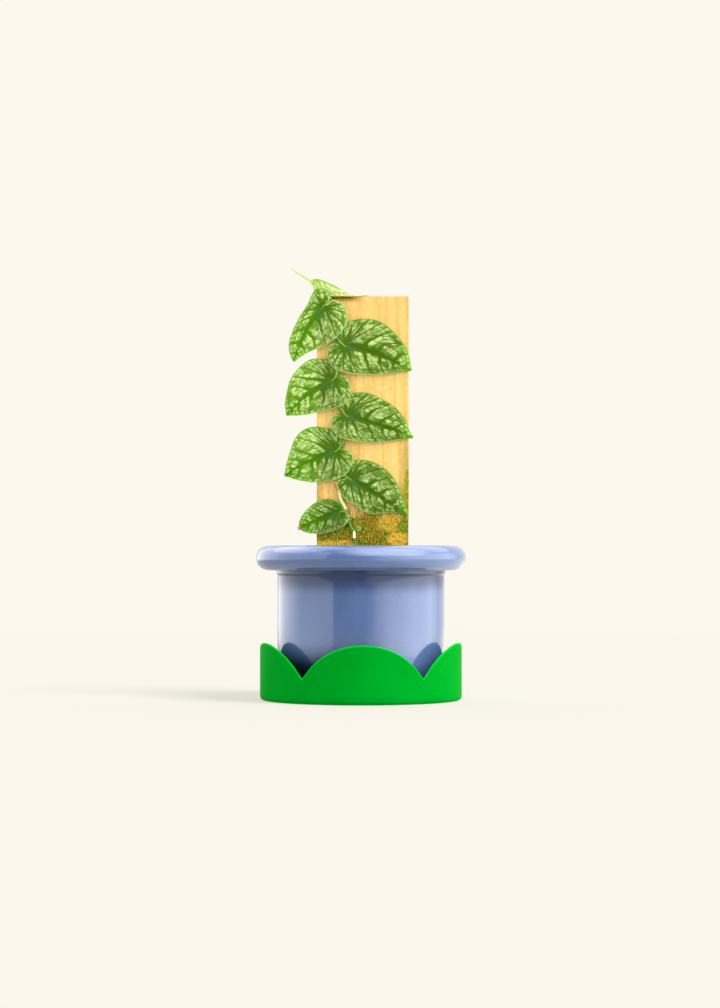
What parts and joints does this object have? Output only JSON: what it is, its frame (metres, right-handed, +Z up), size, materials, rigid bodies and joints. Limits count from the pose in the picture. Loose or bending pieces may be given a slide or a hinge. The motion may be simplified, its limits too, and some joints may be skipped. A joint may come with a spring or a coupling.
{
  "type": "potted shingle plant",
  "caption": "Climbing plant with heart-shaped silver-marked leaves pressed to an upright board, in a round-rimmed pot on a scalloped tray.",
  "frame": {"origin": "on the pot's axis at the underside of the tray's floor, where the object meets the table", "axes": "+Z is up along the pot's axis and the board; -Y is the front, the side that the leaves face; +X is to the right as seen from the front"},
  "size_m": [0.2038, 0.2038, 0.4191],
  "materials": {
    "tray_green": "satin",
    "lavender_glaze": "gloss",
    "potting_soil": "matte",
    "pale_wood": "matte",
    "stem_green": "satin",
    "silvered_leaf": "satin",
    "young_leaf": "satin"
  },
  "bodies": {
    "root": {"scalloped_tray": "tray_green", "pot": "lavender_glaze", "soil": "potting_soil", "board": "pale_wood", "stem": "stem_green", "leaf_1": "silvered_leaf", "leaf_2": "silvered_leaf", "leaf_3": "silvered_leaf", "leaf_4": "silvered_leaf", "leaf_5": "silvered_leaf", "leaf_6": "silvered_leaf", "leaf_7": "silvered_leaf", "leaf_8": "young_leaf", "bud_leaf": "young_leaf"}
  },
  "joints": []
}
